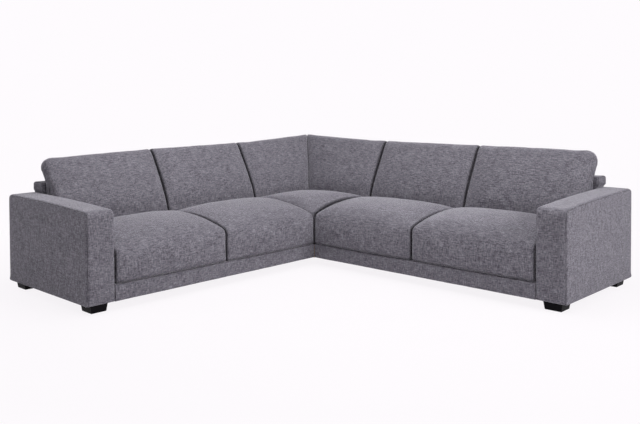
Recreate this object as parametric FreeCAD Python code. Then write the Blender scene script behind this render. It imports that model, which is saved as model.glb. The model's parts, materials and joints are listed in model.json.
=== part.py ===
"""A corner sofa in three upholstered modules, in millimetres, +Z up, standing on z = 0.

The corner module stands in the outer corner of the L. The right wing runs from it along +X and faces -Y,
the left wing is its mirror image, runs along -Y and faces +X. Each wing has two seats and one track arm.

A wing is described by three distances: along, from the outer corner; deep, from the wall behind the back;
and high, from the floor. The right wing is built where it stands and mirrored to give the left wing.
"""
import FreeCAD
import Part
import math
import os

from FreeCAD import Vector

# Overall sizes
wing_length = 2800.0
depth = 950.0
arm_width = 180.0
arm_height = 590.0
back_height = 665.0
back_thickness = 130.0
base_height = 150.0
foot_height = 50.0
module_gap = 2.0

# Timber
rail_thickness = 25.0
cross_rail_thickness = 45.0
hidden_rail_height = 45.0
post_thickness = 25.0
back_board_height = 25.0
arm_panel_thickness = 12.0
arm_post_depth = 40.0
arm_board_thickness = 40.0

# Upholstery over the timber
rear_skin = 12.0
front_skin = 23.0
top_skin = 15.0
end_skin = 6.0
arm_side_skin = 15.0
arm_front_skin = 20.0
arm_top_skin = 25.0
arm_crown = 12.0
arm_corner_radius = 20.0
arm_edge_radius = 14.0
back_edge_radius = 18.0
back_end_radius = 9.0
band_skin = 25.0
band_top_skin = 10.0
band_belly = 4.0
band_radius = 14.0
deck_thickness = 6.0
dust_cloth = 1.0

# Webbing under the seats and in the backs
strap_width = 60.0
strap_thickness = 1.6
strap_gap = 0.4
straps_per_seat = 4
cross_straps = 4
back_straps = 3
strap_flat = 40.0
strap_end_flat = 60.0

# Seat cushions: the seam line along each side edge, and how far the middle stands out from it
cushion_clearance = 1.5
deck_clearance = 0.5
seat_roll = 14.0
seat_overhang = 3.0
seat_rear_rise = 273.0
seat_top_rise = 287.0
seat_nose_rise = 221.0
seat_front_rise = 190.0
seat_nose_depth = 21.0
seat_top_share = 0.31
seat_crown = 28.0
corner_seat_crown = 14.0
seat_front_crown = 11.0
seat_least_crown = 3.0
side_draw = 4.0
crown_stations = (0.0, 0.1, 0.28, 0.5, 0.72, 0.9, 1.0)

# Back cushions
back_cushion_base = 211.0
back_cushion_top = 700.0
back_cushion_shoulder = 665.0
back_cushion_knee = 275.0
back_cushion_lean = 152.0
back_cushion_neck = 88.0
back_cushion_roll = 14.0
back_cushion_crown = 18.0
back_cushion_belly = 12.0
back_cushion_top_crown = 20.0
outer_corner_drop = 62.0
mitre_drop = 16.0
seat_to_back = 4.0

# Foam blocks inside the cushions
wrap = 26.0
underside = 4.0

# Feet and fasteners
foot_top = 110.0
foot_bottom = 98.0
foot_inset = 30.0
hidden_foot_inset = 350.0
rear_foot_inset = 60.0
bolt_radius = 4.0
bolt_clearance = 0.25
foot_ease = 3.0
foot_plate_side = 90.0
foot_plate_thickness = 3.0
bolt_head_radius = 7.5
bolt_head_height = 5.5
arm_bolt_reach = 30.0

# Connectors that hold the modules together
tongue_width = 44.0
tongue_reach = 50.0
tongue_root = 62.0
tongue_plate = 3.0
tongue_thickness = 2.0
keeper_plate = 2.0
keeper_gap = 1.5
keeper_flange = 16.0
keeper_length = 58.0
connector_places = (300.0, 700.0)

# Worked out from the sizes above
seat_width = (wing_length - arm_width - depth) / 2
wing_start = depth + module_gap / 2
corner_end = depth - module_gap / 2
arm_start = wing_length - arm_width
seat_split = depth + seat_width
frame_end = arm_start + arm_side_skin
frame_bottom = foot_height + dust_cloth
hidden_rail_top = frame_bottom + hidden_rail_height
strap_low = base_height - deck_thickness - 3 * strap_thickness - 2 * strap_gap - strap_gap
strap_middle = strap_low + strap_thickness + strap_gap
strap_high = strap_middle + strap_thickness + strap_gap
deck_bottom = base_height - deck_thickness
front_rail_front = depth - band_skin
front_rail_rear = front_rail_front - rail_thickness
rear_rail_front = rear_skin + rail_thickness
back_cavity_front = back_thickness - front_skin
back_frame_front = back_cavity_front - strap_thickness
back_cavity_top = back_height - top_skin
cushion_bottom = base_height + deck_clearance
back_cushion_rear = back_thickness + cushion_clearance
back_cushion_front = back_cushion_rear + back_cushion_base
seat_rear = back_cushion_front + back_cushion_belly + seat_to_back
seat_front = depth + seat_overhang
ORIGIN = Vector(-wing_length / 2, wing_length / 2, 0)

NODES = {}


def at(along, deep, high):
    """The point of the right wing at these three distances."""
    return Vector(along, -deep, high)


def block(along, deep, high):
    """A straight-sided solid from three (low, high) pairs."""
    size = (along[1] - along[0], deep[1] - deep[0], high[1] - high[0])
    return Part.makeBox(*size, at(along[0], deep[1], high[0]))


def path(place, start, steps):
    """A closed outline. A step of one point is a line to it, and a step of two is an arc through the
    first to the second. place turns a flat point into a point in space."""
    edges = []
    here = start
    for step in steps:
        if len(step) == 1:
            edges.append(Part.makeLine(place(*here), place(*step[0])))
        else:
            edges.append(Part.Arc(place(*here), place(*step[0]), place(*step[1])).toShape())
        here = step[-1]
    if math.dist(here, start) > 1e-6:
        edges.append(Part.makeLine(place(*here), place(*start)))
    return Part.Wire(edges)


def cross_section(along, start, steps):
    """An outline in (deep, high) across the wing."""
    return path(lambda deep, high: at(along, deep, high), start, steps)


def run(wire, first, last):
    """The solid that an outline drawn at first sweeps as it goes along the wing to last."""
    return Part.Face(wire).extrude(Vector(last - first, 0, 0))


def bend(start, corner, end, count=3):
    """Steps of a path that round a corner in a few short lines."""
    steps = []
    for index in range(1, count + 1):
        share = index / count
        parts = ((1 - share) ** 2, 2 * share * (1 - share), share ** 2)
        steps.append([tuple(sum(part * point[axis] for part, point in zip(parts, (start, corner, end)))
                            for axis in (0, 1))])
    return steps


def quarter(centre, radius, degrees):
    """A point on a circle, its angle measured from the deep direction towards high."""
    turn = math.radians(degrees)
    return (centre[0] + radius * math.cos(turn), centre[1] + radius * math.sin(turn))


def rod(start, direction, radius, length):
    return Part.makeCylinder(radius, length, start, direction)


def mirrored(shape):
    """The same shape in the left wing, across the upright plane through the diagonal of the corner."""
    return shape.mirror(Vector(0, 0, 0), Vector(1, 1, 0))


def keep(name, solids):
    """Put solids in a node, as one solid or as a group of separate ones."""
    solids = solids if isinstance(solids, list) else [solids]
    NODES[name] = solids[0] if len(solids) == 1 else Part.makeCompound(solids)


def keep_pair(name, solids):
    """Put solids in the right wing's node and their mirror images in the left wing's."""
    solids = solids if isinstance(solids, list) else [solids]
    keep("right_" + name, solids)
    keep("left_" + name, [mirrored(solid) for solid in solids])


# Timber frame of a wing

def cross_rail_spans():
    """Where the three rails that run from front to back stand along a wing."""
    half = cross_rail_thickness / 2
    return [
        (wing_start, wing_start + cross_rail_thickness),
        (seat_split - half, seat_split + half),
        (frame_end - cross_rail_thickness, frame_end),
    ]


def arm_bolt_places():
    first = rear_rail_front + 4 * bolt_head_radius + back_thickness
    last = front_rail_rear - 4 * bolt_head_radius
    return [first, last]


def arm_bolt_height():
    """The bolts pass just above the arm's bottom board."""
    return foot_height + arm_board_thickness + bolt_head_radius


def arm_bolt_hole(deep):
    start = at(frame_end - cross_rail_thickness - 1, deep, arm_bolt_height())
    reach = cross_rail_thickness + arm_panel_thickness + arm_bolt_reach
    return rod(start, Vector(1, 0, 0), bolt_radius + bolt_clearance, reach)


def long_rails():
    span = (wing_start, frame_end)
    high = (frame_bottom, strap_low)
    return [
        block(span, (rear_skin, rear_rail_front), high),
        block(span, (front_rail_rear, front_rail_front), high),
    ]


def cross_rails():
    rails = [
        block(span, (rear_rail_front, front_rail_rear), (frame_bottom, strap_middle))
        for span in cross_rail_spans()
    ]
    for deep in arm_bolt_places():
        rails[-1] = rails[-1].cut(arm_bolt_hole(deep))
    return rails


def back_posts(starts, low):
    """Upright boards of a back, from the rails up to the top board."""
    deep = (rear_skin, back_frame_front)
    high = (low, back_cavity_top - back_board_height)
    return [block((start, start + post_thickness), deep, high) for start in starts]


def back_frame():
    first = wing_start + end_skin
    last = arm_start - end_skin
    middle = (first + last - post_thickness) / 2
    starts = [first, middle, last - post_thickness]
    posts = back_posts(starts, strap_middle)
    top = block((first, last), (rear_skin, back_frame_front),
                (back_cavity_top - back_board_height, back_cavity_top))
    rise = (base_height + back_cavity_top) / 2
    lower = [
        block((left + post_thickness, right), (rear_skin, rear_rail_front), (rise, rise + back_board_height))
        for left, right in zip(starts, starts[1:])
    ]
    return posts + [top] + lower


# Webbing: the straps that run front to back pass over and under the ones that cross them

def woven_strap(middle, near, far, crossings, over_first, place):
    """One strap as a flat band that changes level between crossings. near and far are its two ends,
    and place turns (run, level, side) into a point."""
    line = [(near, strap_low), (near + strap_end_flat, strap_low)]
    over = over_first
    for crossing in crossings:
        level = strap_high if over else strap_low
        line.append((crossing - strap_flat, level))
        line.append((crossing + strap_flat, level))
        over = not over
    line += [(far - strap_end_flat, strap_low), (far, strap_low)]
    upper = [(run_at, level + strap_thickness) for run_at, level in reversed(line)]
    corners = [place(run_at, level, middle - strap_width / 2) for run_at, level in line + upper]
    side = place(0, 0, strap_width) - place(0, 0, 0)
    return Part.Face(Part.makePolygon(corners + corners[:1])).extrude(side)


def spread(low, high, count):
    """Evenly spaced places between two limits, half a step in from each."""
    step = (high - low) / count
    return [low + step * (index + 0.5) for index in range(count)]


def seat_webbing(bays, cross_span, front_end):
    """Straps of one seat frame. bays are the spaces between its front-to-back rails."""
    crossings = spread(back_thickness, front_rail_rear, cross_straps)
    straps = []
    for bay in bays:
        for index, middle in enumerate(spread(bay[0], bay[1], straps_per_seat)):
            straps.append(woven_strap(
                middle, rear_skin + 2, front_end - 2, crossings, index % 2 == 0,
                lambda deep, level, along: at(along, deep, level)))
    for crossing in crossings:
        deep = (crossing - strap_width / 2, crossing + strap_width / 2)
        straps.append(block(cross_span, deep, (strap_middle, strap_middle + strap_thickness)))
    return straps


def back_webbing(span):
    """Straps across the front of a back frame."""
    rises = spread(base_height, back_cavity_top, back_straps)
    deep = (back_frame_front, back_cavity_front)
    return [block(span, deep, (rise - strap_width / 2, rise + strap_width / 2)) for rise in rises]


def wing_webbing():
    rails = cross_rail_spans()
    bays = [(left[1], right[0]) for left, right in zip(rails, rails[1:])]
    seat = seat_webbing(bays, (wing_start + 2, frame_end - 2), front_rail_front)
    return seat + back_webbing((wing_start + end_skin, arm_start - end_skin))


# Upholstered skins

def back_outline(along):
    """The outside of a back, seen from its end."""
    rise = back_height - back_edge_radius
    rear = (back_edge_radius, rise)
    front = (back_thickness - back_edge_radius, rise)
    return cross_section(along, (0, foot_height), [
        [(0, rise)],
        [quarter(rear, back_edge_radius, 135), (back_edge_radius, back_height)],
        [(back_thickness - back_edge_radius, back_height)],
        [quarter(front, back_edge_radius, 45), (back_thickness, rise)],
        [(back_thickness, foot_height)],
    ])


def back_upholstery(first, last, first_skin, last_skin, rounded_ends):
    """The padded cover of a back: closed at the top and ends, open under the seat."""
    outer = run(back_outline(first), first, last)
    edges = [
        edge for edge in outer.Edges
        if edge.BoundBox.XLength < 1e-6
        and any(abs(edge.BoundBox.XMin - end) < 1e-6 for end in rounded_ends)
        and edge.BoundBox.ZMax > foot_height + 1
    ]
    if edges:
        outer = outer.makeFillet(back_end_radius, edges)
    inside = block((first + first_skin, last - last_skin), (rear_skin, back_cavity_front),
                   (foot_height - 1, back_cavity_top))
    under_seat = block((first + first_skin - end_skin - 1, last - last_skin + end_skin + 1),
                       (rear_skin, back_thickness + 1), (foot_height - 1, base_height))
    return outer.cut(inside).cut(under_seat)


def front_band():
    """The padded band over the front rail."""
    belly = (depth, (foot_height + base_height) / 2)
    front = depth - band_belly
    centre = (front - band_radius, base_height - band_radius)
    wire = cross_section(wing_start, (front_rail_front, foot_height), [
        [(front, foot_height)],
        [belly, (front, base_height - band_radius)],
        [quarter(centre, band_radius, 45), (front - band_radius, base_height)],
        [(front_rail_rear - band_top_skin, base_height)],
        [(front_rail_rear - band_top_skin, base_height - band_top_skin)],
        [(front_rail_front, base_height - band_top_skin)],
    ])
    return run(wire, wing_start, arm_start)


def deck_pad(along, deep):
    return block(along, deep, (deck_bottom, base_height))


def dust_cover(along, deep):
    return block(along, deep, (foot_height, frame_bottom))


def arm_outline(along, inset):
    """The side of an arm with its bowed top, drawn in by the inset except at the floor."""
    ends = arm_height - arm_crown - inset
    low = ends - arm_corner_radius
    near = inset
    far = depth - inset
    front = (far - arm_corner_radius, low)
    rear = (near + arm_corner_radius, low)
    return cross_section(along, (near, foot_height), [
        [(near, low)],
        [quarter(rear, arm_corner_radius, 135), (near + arm_corner_radius, ends)],
        [(depth / 2, arm_height - inset), (far - arm_corner_radius, ends)],
        [quarter(front, arm_corner_radius, 45), (far, low)],
        [(far, foot_height)],
    ])


def arm_inside():
    """The space that the arm's timber fills."""
    along = (frame_end, wing_length - arm_side_skin)
    high = (foot_height, arm_height - arm_crown - arm_top_skin)
    return along, (rear_skin, depth - arm_front_skin), high


def arm_upholstery():
    """The padded cover of an arm. Its inner side stops at the deck, where the frame is bolted on."""
    strip = roll_in(arm_edge_radius)
    wires = [arm_outline(arm_start + step, inset) for step, inset in strip]
    wires += [arm_outline(wing_length - step, inset) for step, inset in reversed(strip)]
    outer = Part.makeLoft(wires, True, True).cut(block(*arm_inside()))
    joint = block((arm_start - 1, frame_end), (rear_skin, front_rail_front),
                  (foot_height - 1, base_height))
    return outer.cut(joint)


def arm_frame():
    along, deep, high = arm_inside()
    inner = (along[0], along[0] + arm_panel_thickness)
    outer = (along[1] - arm_panel_thickness, along[1])
    between = (inner[1], outer[0])
    bottom = block(between, deep, (high[0], high[0] + arm_board_thickness))
    inner_panel = block(inner, deep, high)
    for place in arm_bolt_places():
        inner_panel = inner_panel.cut(arm_bolt_hole(place))
    rise = (high[0] + arm_board_thickness, high[1])
    return [
        inner_panel,
        block(outer, deep, high),
        bottom,
        block(between, (deep[0], deep[0] + arm_post_depth), rise),
        block(between, (deep[1] - arm_post_depth, deep[1]), rise),
        block(between, (deep[0] + arm_post_depth, deep[1] - arm_post_depth),
              (high[1] - arm_panel_thickness, high[1])),
    ]


# Feet and fasteners

def arm_foot_places():
    along = (arm_start + wing_length) / 2
    half = foot_top / 2
    return [(along, foot_inset + half), (along, depth - foot_inset - half)]


def wing_foot_places():
    """Feet under the seat part of a wing, set back out of sight."""
    front = depth - hidden_foot_inset
    rear = rear_foot_inset + foot_top / 2
    inner = wing_start + foot_top / 2 + foot_ease
    return [(inner, rear), (inner, front), (seat_split, front), (seat_split, rear)]


def corner_foot_places():
    rear = foot_inset + foot_top / 2
    front = depth - hidden_foot_inset
    return [(rear, rear), (corner_end - rear, rear), (rear, corner_end - rear), (front, front)]


def square(centre, side, high):
    """A square outline, level, about a centre."""
    low = (centre[0] - side / 2, centre[1] - side / 2)
    far = (centre[0] + side / 2, centre[1] + side / 2)
    corners = [low, (far[0], low[1]), far, (low[0], far[1]), low]
    return Part.makePolygon([at(along, deep, high) for along, deep in corners])


def foot(centre):
    """A block foot that narrows towards the floor, where its edge is eased."""
    outlines = [
        square(centre, foot_bottom - 2 * foot_ease, 0),
        square(centre, foot_bottom, foot_ease),
        square(centre, foot_top, foot_height - foot_plate_thickness),
    ]
    return Part.makeLoft(outlines, True, True)


def foot_plate(centre):
    """The steel plate between a foot and the frame."""
    low = foot_height - foot_plate_thickness
    return Part.Face(square(centre, foot_plate_side, low)).extrude(Vector(0, 0, foot_plate_thickness))


def arm_bolt(deep):
    """A hexagon-headed bolt through the last cross rail into the arm."""
    length = cross_rail_thickness + arm_panel_thickness + arm_bolt_reach / 2
    seat = at(frame_end - cross_rail_thickness, deep, arm_bolt_height())
    corners = [
        seat + Vector(0, bolt_head_radius * math.cos(math.radians(60 * index)),
                      bolt_head_radius * math.sin(math.radians(60 * index)))
        for index in range(7)
    ]
    head = Part.Face(Part.makePolygon(corners)).extrude(Vector(-bolt_head_height, 0, 0))
    return head.fuse(rod(seat, Vector(1, 0, 0), bolt_radius, length))


# Connectors

def tongue(deep):
    """A steel tongue under the corner module that reaches beneath the wing."""
    top = foot_height
    root = block((corner_end - tongue_root, corner_end),
                 (deep - tongue_width / 2, deep + tongue_width / 2), (top - tongue_plate, top))
    low = top - tongue_plate
    reach = corner_end + tongue_reach
    half = tongue_width / 2
    tip = path(lambda along, side: at(along, side, low), (corner_end, deep - half), [
        [(reach - half, deep - half)],
        [(reach, deep - half / 2)],
        [(reach, deep + half / 2)],
        [(reach - half, deep + half)],
        [(corner_end, deep + half)],
    ])
    return root.fuse(Part.Face(tip).extrude(Vector(0, 0, tongue_thickness)))


def keeper(deep):
    """The folded steel channel under the wing that the tongue slides into."""
    inner = tongue_width / 2 + keeper_gap
    outer = inner + keeper_plate
    edge = outer + keeper_flange
    top = foot_height
    flange = top - keeper_plate
    floor = top - tongue_plate - keeper_gap
    wire = cross_section(wing_start, (deep - edge, top), [
        [(deep - edge, flange)], [(deep - outer, flange)], [(deep - outer, floor - keeper_plate)],
        [(deep + outer, floor - keeper_plate)], [(deep + outer, flange)], [(deep + edge, flange)],
        [(deep + edge, top)], [(deep + inner, top)], [(deep + inner, floor)],
        [(deep - inner, floor)], [(deep - inner, top)],
    ])
    return run(wire, wing_start, wing_start + keeper_length)


# Cushions: lofts across their width, so that the middle is crowned and the sides roll in

def roll_in(roll):
    """The rolled edge at a cushion's side as (distance, inset): a quarter circle in a few flats."""
    return [(share * roll, roll * (1 - math.sqrt(1 - (1 - share) ** 2))) for share in (0.0, 0.3, 1.0)]


def crown_at(share):
    """How much of the crown a cushion has this far across, from 0 at its seams to 1 in the middle."""
    return 1 - abs(2 * share - 1) ** 2.4


def pillow(section, first, last, near_strip, far_strip):
    """A cushion as a loft across its crown, with a rolled strip at each end.

    section draws the outline at a place for an inset, a drop of the top and a crown. A strip is a list
    of (distance from the end, inset, drop), from the end inwards, or empty for a plain end.
    """
    low = first + (near_strip[-1][0] if near_strip else 0)
    high = last - (far_strip[-1][0] if far_strip else 0)
    wires = [section(first + step, inset, drop, 0) for step, inset, drop in near_strip[:-1]]
    for share in crown_stations:
        wires.append(section(low + share * (high - low), 0, 0, crown_at(share)))
    wires += [section(last - step, inset, drop, 0) for step, inset, drop in reversed(far_strip[:-1])]
    return Part.makeLoft(wires, True, True)


def plain_strip(roll):
    return [(step, inset, inset) for step, inset in roll_in(roll)]


def seat_section(along, inset, drop, crown):
    """A seat cushion cut from front to back: flat below, upright in front, one long arc on top."""
    swell = crown * seat_crown
    front = seat_front - inset + crown * seat_front_crown
    rear = seat_rear + inset
    low = cushion_bottom + inset / 2
    base = base_height - drop + swell
    nose = (front - seat_nose_depth, base + seat_nose_rise)
    brow = (front, base_height - drop + seat_front_rise)
    top = (seat_rear + seat_top_share * (seat_front - seat_rear), base + seat_top_rise)
    back = (rear, base_height - drop + seat_rear_rise + 0.7 * swell)
    return cross_section(along, (rear, low), [
        [(front, low)],
        [brow],
        *bend(brow, (brow[0], nose[1] - 0.3 * seat_nose_depth), nose),
        [top, back],
    ])


def drawn_in(shape, first, last, near, far):
    """Pull both sides of a cushion in between its corners, with one wide shallow scoop each."""
    span = far - near
    radius = span ** 2 / (8 * side_draw) + side_draw / 2
    middle = (near + far) / 2
    for side, away in ((first, -1), (last, 1)):
        centre = at(side + away * (radius - side_draw), middle, 0)
        shape = shape.cut(rod(centre, Vector(0, 0, 1), radius, 4 * base_height + back_cushion_top))
    return shape


def seat_cushion(first, last):
    strip = plain_strip(seat_roll)
    return drawn_in(pillow(seat_section, first, last, strip, strip), first, last, seat_rear, seat_front)


def seat_core(first, last):
    """The foam block of a seat cushion, with its nose cut back."""
    front = seat_front - wrap
    rear = seat_rear + wrap
    low = cushion_bottom + underside + seat_roll / 2
    wire = cross_section(first + wrap, (rear, low), [
        [(front, low)],
        [(front, base_height + seat_front_rise - wrap)],
        [(front - 2 * seat_nose_depth, base_height + seat_nose_rise - wrap / 2)],
        [(seat_rear + 0.5 * (seat_front - seat_rear), base_height + seat_top_rise - wrap)],
        [(rear, base_height + seat_rear_rise - wrap)],
    ])
    return run(wire, first + wrap, last - wrap)


def back_section(along, inset, drop, crown):
    """A back cushion cut from front to back: it stands on the deck, leans back and rolls over."""
    rear = back_cushion_rear + inset
    front = back_cushion_front - inset + crown * back_cushion_belly
    low = cushion_bottom + inset / 2
    knee = base_height + back_cushion_knee
    shoulder = base_height + back_cushion_shoulder - drop + crown * back_cushion_top_crown / 2
    summit = base_height + back_cushion_top - drop + crown * back_cushion_top_crown
    front_top = front - back_cushion_lean
    rear_top = front_top - back_cushion_neck + inset
    slope = math.hypot(back_cushion_lean, shoulder - knee)
    bulge = back_cushion_belly + crown * back_cushion_crown / 2
    belly = ((front + front_top) / 2 + bulge * (shoulder - knee) / slope,
             (knee + shoulder) / 2 + bulge * back_cushion_lean / slope)
    hip = back_height + 2 * cushion_clearance
    top = (front_top + rear_top) / 2
    return cross_section(along, (rear, low), [
        [(front, low)],
        [(front, knee)],
        [belly, (front_top, shoulder)],
        *bend((front_top, shoulder), (front_top - 0.1 * back_cushion_neck, summit), (top, summit)),
        *bend((top, summit), (rear_top + 0.1 * back_cushion_neck, summit), (rear_top, shoulder)),
        [(rear_top + 0.2 * (rear - rear_top), hip + 0.55 * (shoulder - hip)), (rear, hip)],
    ])


def rounded_strip():
    """The outer end of the last back cushion, whose top corner is a wide round."""
    strip = plain_strip(back_cushion_roll)[:-1]
    radius = outer_corner_drop
    insets = [(step, inset) for step, inset, drop in strip] + [(back_cushion_roll, 0.0)]
    insets += [(radius * share, 0.0) for share in (0.45, 0.7, 1.0)]
    return [(step, inset, radius - math.sqrt(radius ** 2 - (radius - step) ** 2)) for step, inset in insets]


def back_cushion(first, last, rounded=False):
    near = plain_strip(back_cushion_roll)
    far = rounded_strip() if rounded else near
    shape = pillow(back_section, first, last, near, far)
    return drawn_in(shape, first, last, back_cushion_rear, back_cushion_front)


def mitred_section(along, inset, drop, crown):
    """A section of the corner's back cushion, lower towards the corner."""
    near = max(1 - along / back_cushion_front, 0.0)
    return back_section(along, inset, drop + mitre_drop * near ** 2, crown)


def mitred_back_cushion(last):
    """The back cushion in the corner, whose inner end follows the diagonal."""
    first = back_cushion_rear - back_cushion_roll
    shape = pillow(mitred_section, first, last, [], plain_strip(back_cushion_roll))
    beyond = 2 * depth
    edge = cushion_clearance
    corner = path(lambda along, deep: at(along, deep, 0), (edge, 0), [
        [(beyond, 0)], [(beyond, beyond - edge)],
    ])
    wedge = Part.Face(corner).extrude(Vector(0, 0, 4 * back_height))
    return shape.common(wedge)


def back_core(first, last, mitred=False):
    """The foam and fibre block of a back cushion."""
    rear = back_cushion_rear + wrap
    front = back_cushion_front - wrap
    low = cushion_bottom + underside + back_cushion_roll / 2
    knee = base_height + back_cushion_knee
    shoulder = base_height + back_cushion_shoulder - outer_corner_drop
    lean = back_cushion_lean * (shoulder - knee) / (back_cushion_shoulder - back_cushion_knee)
    front_top = front - lean
    wire = cross_section(first + wrap, (rear, low), [
        [(front, low)],
        [(front, knee)],
        [(front_top, shoulder)],
        [(back_cushion_rear, shoulder)],
        [(rear, back_height + wrap)],
    ])
    core = run(wire, first + wrap, last - wrap)
    if not mitred:
        return core
    offset = cushion_clearance + wrap * math.sqrt(2)
    beyond = 2 * depth
    corner = path(lambda along, deep: at(along, deep, 0), (offset, 0), [
        [(beyond, 0)], [(beyond, beyond - offset)],
    ])
    return core.common(Part.Face(corner).extrude(Vector(0, 0, 4 * back_height)))


def seam_height(deep):
    """How high the side seam of a wing's seat cushion lies at this depth."""
    top = seat_rear + seat_top_share * (seat_front - seat_rear)
    fall = seat_top_rise - seat_nose_rise
    reach = seat_front - seat_nose_depth - top
    return base_height + seat_top_rise - fall * ((deep - top) / reach) ** 2


def corner_seat_height(along, deep):
    """The top of the corner seat: level with its neighbours' seams, crowned in the middle."""
    low, high = seat_rear, corner_end
    u = (along - low) / (high - low)
    v = (deep - low) / (high - low)
    rear = base_height + seat_rear_rise
    near = seam_height(low)
    far = seam_height(high)
    sides = (1 - u) * rear + u * seam_height(deep) + (1 - v) * rear + v * seam_height(along)
    corners = (1 - u) * (1 - v) * rear + (u * (1 - v) + (1 - u) * v) * near + u * v * far
    return sides - corners + 16 * corner_seat_crown * u * (1 - u) * v * (1 - v)


def corner_seat_section(along, inset, drop, crown):
    low = cushion_bottom + inset / 2
    rear = seat_rear + inset
    front = corner_end - cushion_clearance - inset
    roll = seat_roll / 2
    heights = [corner_seat_height(along, deep) - drop for deep in (rear, (rear + front) / 2, front)]
    heights[1] += seat_least_crown
    return cross_section(along, (rear, low), [
        [(front, low)],
        [(front, heights[2] - roll)],
        *bend((front, heights[2] - roll), (front, heights[2]), (front - roll, heights[2])),
        [((rear + front) / 2, heights[1]), (rear, heights[0])],
    ])


def corner_seat():
    strip = plain_strip(seat_roll)
    return pillow(corner_seat_section, seat_rear, corner_end - cushion_clearance, strip, strip)


def corner_seat_core():
    span = (seat_rear + wrap, corner_end - cushion_clearance - wrap)
    high = (cushion_bottom + underside + seat_roll / 2, base_height + seat_nose_rise - wrap)
    return block(span, span, high)


def keep_cushion(name, outer, core, both=True):
    """A cushion is its cover, hollow inside, and the block that fills the hollow."""
    save = keep_pair if both else keep
    save(name + "_cushion_cover", outer.cut(core))
    save(name + "_cushion_foam", core)


# The corner module

def corner_rails():
    near = (rear_skin, rear_rail_front)
    far = (corner_end - cross_rail_thickness, corner_end)
    low = (frame_bottom, strap_low)
    tall = (frame_bottom, strap_middle)
    rails = [
        block((rear_skin, corner_end), near, low),
        block(near, (rear_rail_front, far[0]), tall),
        block((rear_skin, corner_end), far, low),
        block(far, (rear_rail_front, far[0]), tall),
    ]
    return rails


def corner_middle_rail():
    """The low board under the seat that carries the hidden foot."""
    centre = depth - hidden_foot_inset
    half = foot_top / 2
    return block((centre - half, centre + half),
                 (rear_rail_front, corner_end - cross_rail_thickness), (frame_bottom, hidden_rail_top))


def corner_back_frame():
    end = corner_end - end_skin
    deep = (rear_skin, back_frame_front)
    top = (back_cavity_top - back_board_height, back_cavity_top)
    rise = (strap_middle, top[0])
    corner_post = block(deep, deep, rise)
    right_post = block((end - post_thickness, end), deep, rise)
    left_post = mirrored(right_post)
    left_top = block(deep, (rear_skin, end), top)
    right_top = block((back_thickness, end), deep, top)
    return [corner_post, right_post, left_post, left_top, right_top]


def corner_webbing():
    bay = (back_thickness, corner_end - cross_rail_thickness)
    seat = seat_webbing([bay], (rear_skin + 2, corner_end - 2), corner_end)
    right = back_webbing((back_thickness, corner_end - end_skin))
    left = [mirrored(strap) for strap in back_webbing((rear_skin, corner_end - end_skin))]
    return seat + right + left


def corner_dust_cover():
    span = (rear_skin, corner_end)
    return dust_cover(span, span)


def corner_tongues():
    tongues = [tongue(deep) for deep in connector_places]
    return tongues + [mirrored(shape) for shape in tongues]


def build_wings():
    keep_pair("long_rails", long_rails())
    keep_pair("cross_rails", cross_rails())
    keep_pair("back_frame", back_frame())
    keep_pair("webbing", wing_webbing())
    keep_pair("back_upholstery", back_upholstery(wing_start, arm_start, end_skin, end_skin, [arm_start]))
    keep_pair("front_band", front_band())
    keep_pair("deck_pad", deck_pad((wing_start, arm_start), (back_thickness, front_rail_rear - band_top_skin)))
    keep_pair("dust_cover", dust_cover((wing_start, frame_end), (rear_skin, front_rail_front)))
    keep_pair("arm_frame", arm_frame())
    keep_pair("arm_upholstery", arm_upholstery())
    keep_pair("arm_bolts", [arm_bolt(deep) for deep in arm_bolt_places()])
    feet = arm_foot_places() + wing_foot_places()
    keep_pair("feet", [foot(centre) for centre in feet])
    keep_pair("foot_plates", [foot_plate(centre) for centre in feet])
    keep_pair("connector_keepers", [keeper(deep) for deep in connector_places])


def build_corner():
    keep("corner_rails", corner_rails() + [corner_middle_rail()])
    keep("corner_back_frame", corner_back_frame())
    keep("corner_webbing", corner_webbing())
    right = back_upholstery(back_thickness, corner_end, 0, end_skin, [])
    left = mirrored(back_upholstery(0, corner_end, rear_skin, end_skin, []))
    keep("corner_right_back_upholstery", right)
    keep("corner_left_back_upholstery", left)
    keep("corner_deck_pad", deck_pad((back_thickness, corner_end), (back_thickness, corner_end)))
    keep("corner_dust_cover", corner_dust_cover())
    keep("corner_feet", [foot(centre) for centre in corner_foot_places()])
    keep("corner_foot_plates", [foot_plate(centre) for centre in corner_foot_places()])
    keep("corner_connector_tongues", corner_tongues())


def build_cushions():
    inner = (wing_start + cushion_clearance, seat_split - cushion_clearance)
    outer = (seat_split + cushion_clearance, arm_start - cushion_clearance)
    keep_cushion("inner_seat", seat_cushion(*inner), seat_core(*inner))
    keep_cushion("outer_seat", seat_cushion(*outer), seat_core(*outer))
    keep_cushion("inner_back", back_cushion(*inner), back_core(*inner))
    keep_cushion("outer_back", back_cushion(*outer, rounded=True), back_core(*outer))
    corner_last = corner_end - cushion_clearance
    keep_cushion("corner_back", mitred_back_cushion(corner_last),
                 back_core(back_cushion_rear, corner_last, mitred=True))
    keep_cushion("corner_seat", corner_seat(), corner_seat_core(), both=False)


def main():
    os.makedirs("parts", exist_ok=True)
    build_wings()
    build_corner()
    build_cushions()
    for name, shape in NODES.items():
        shape.translated(ORIGIN).exportStep("parts/" + name + ".step")


main()
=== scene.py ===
"""The looks of a corner sofa: chenille cushions and padded upholstery as modelled, simulated cloth,
procedural materials, the photograph's camera and a plain studio. Metres, +Z up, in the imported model's frame.

A wing is described by three distances, in this order: along, from the outer corner of the L; deep, from the
wall behind the back; and high, from the floor. Pieces are made for the right wing, which runs along +X, and
mirrored across the corner's diagonal for the left wing.
"""

import json
import math

import bpy
import numpy as np
from mathutils import Matrix, Vector, noise
from mathutils.bvhtree import BVHTree


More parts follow.
